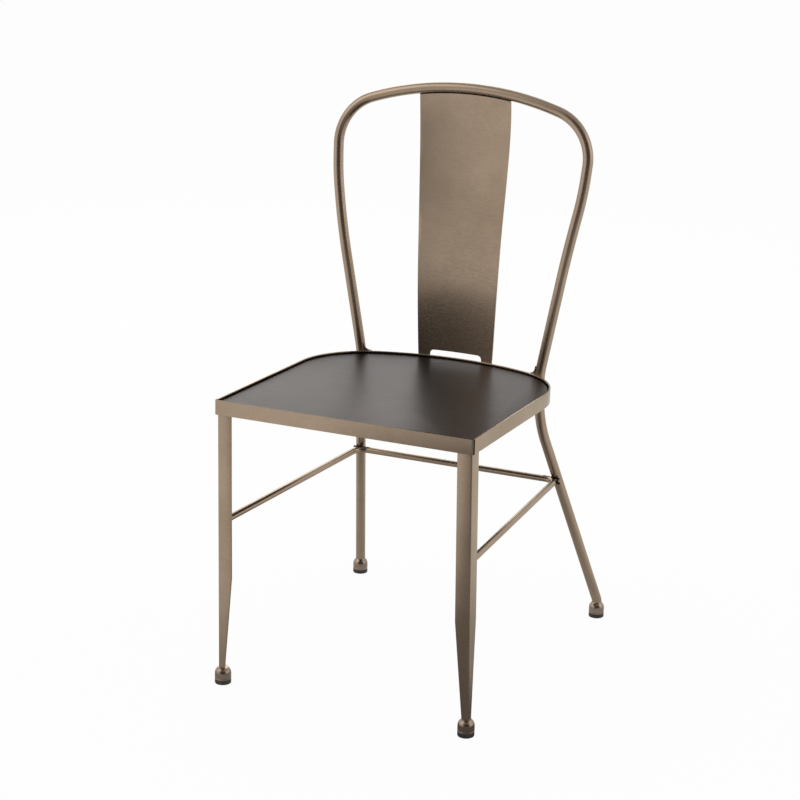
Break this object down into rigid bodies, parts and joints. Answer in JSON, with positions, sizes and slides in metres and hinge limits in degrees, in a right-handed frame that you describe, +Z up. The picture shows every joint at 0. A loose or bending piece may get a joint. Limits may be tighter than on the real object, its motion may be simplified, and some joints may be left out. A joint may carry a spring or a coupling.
{
  "type": "metal bistro chair",
  "caption": "Armless metal bistro chair: recessed sheet seat in a flat band, bent tube hoop and rear legs, sheet splat, folded angle front legs and a round bar stretcher.",
  "frame": {"origin": "on the floor, under the middle of the chair's bounding box", "axes": "+Z up; the sitter faces -Y; +X is to the right as the chair is seen from its front, and node names use left and right in that way"},
  "size_m": [0.4596, 0.5436, 0.8774],
  "materials": {
    "frame_lacquer": "satin bronze-brown lacquer over brushed steel",
    "seat_lacquer": "dark bronze satin lacquer, softly reflecting",
    "foot_cup": "semi-gloss bronze",
    "foot_glide": "matt black",
    "bare_steel": "plain"
  },
  "bodies": {
    "root": {"rear_leg_back_tube": "frame_lacquer", "back_splat": "frame_lacquer", "seat_front_rail": "frame_lacquer", "seat_side_rail": "frame_lacquer", "front_leg_left": "frame_lacquer", "front_leg_right": "frame_lacquer", "stretcher_rod": "frame_lacquer", "seat_pan": "seat_lacquer", "foot_cup_front_left": "foot_cup", "foot_glide_front_left": "foot_glide", "foot_washer_front_left": "bare_steel", "foot_cup_front_right": "foot_cup", "foot_glide_front_right": "foot_glide", "foot_washer_front_right": "bare_steel", "foot_cup_rear_left": "foot_cup", "foot_glide_rear_left": "foot_glide", "foot_washer_rear_left": "bare_steel", "foot_cup_rear_right": "foot_cup", "foot_glide_rear_right": "foot_glide", "foot_washer_rear_right": "bare_steel"}
  },
  "joints": []
}
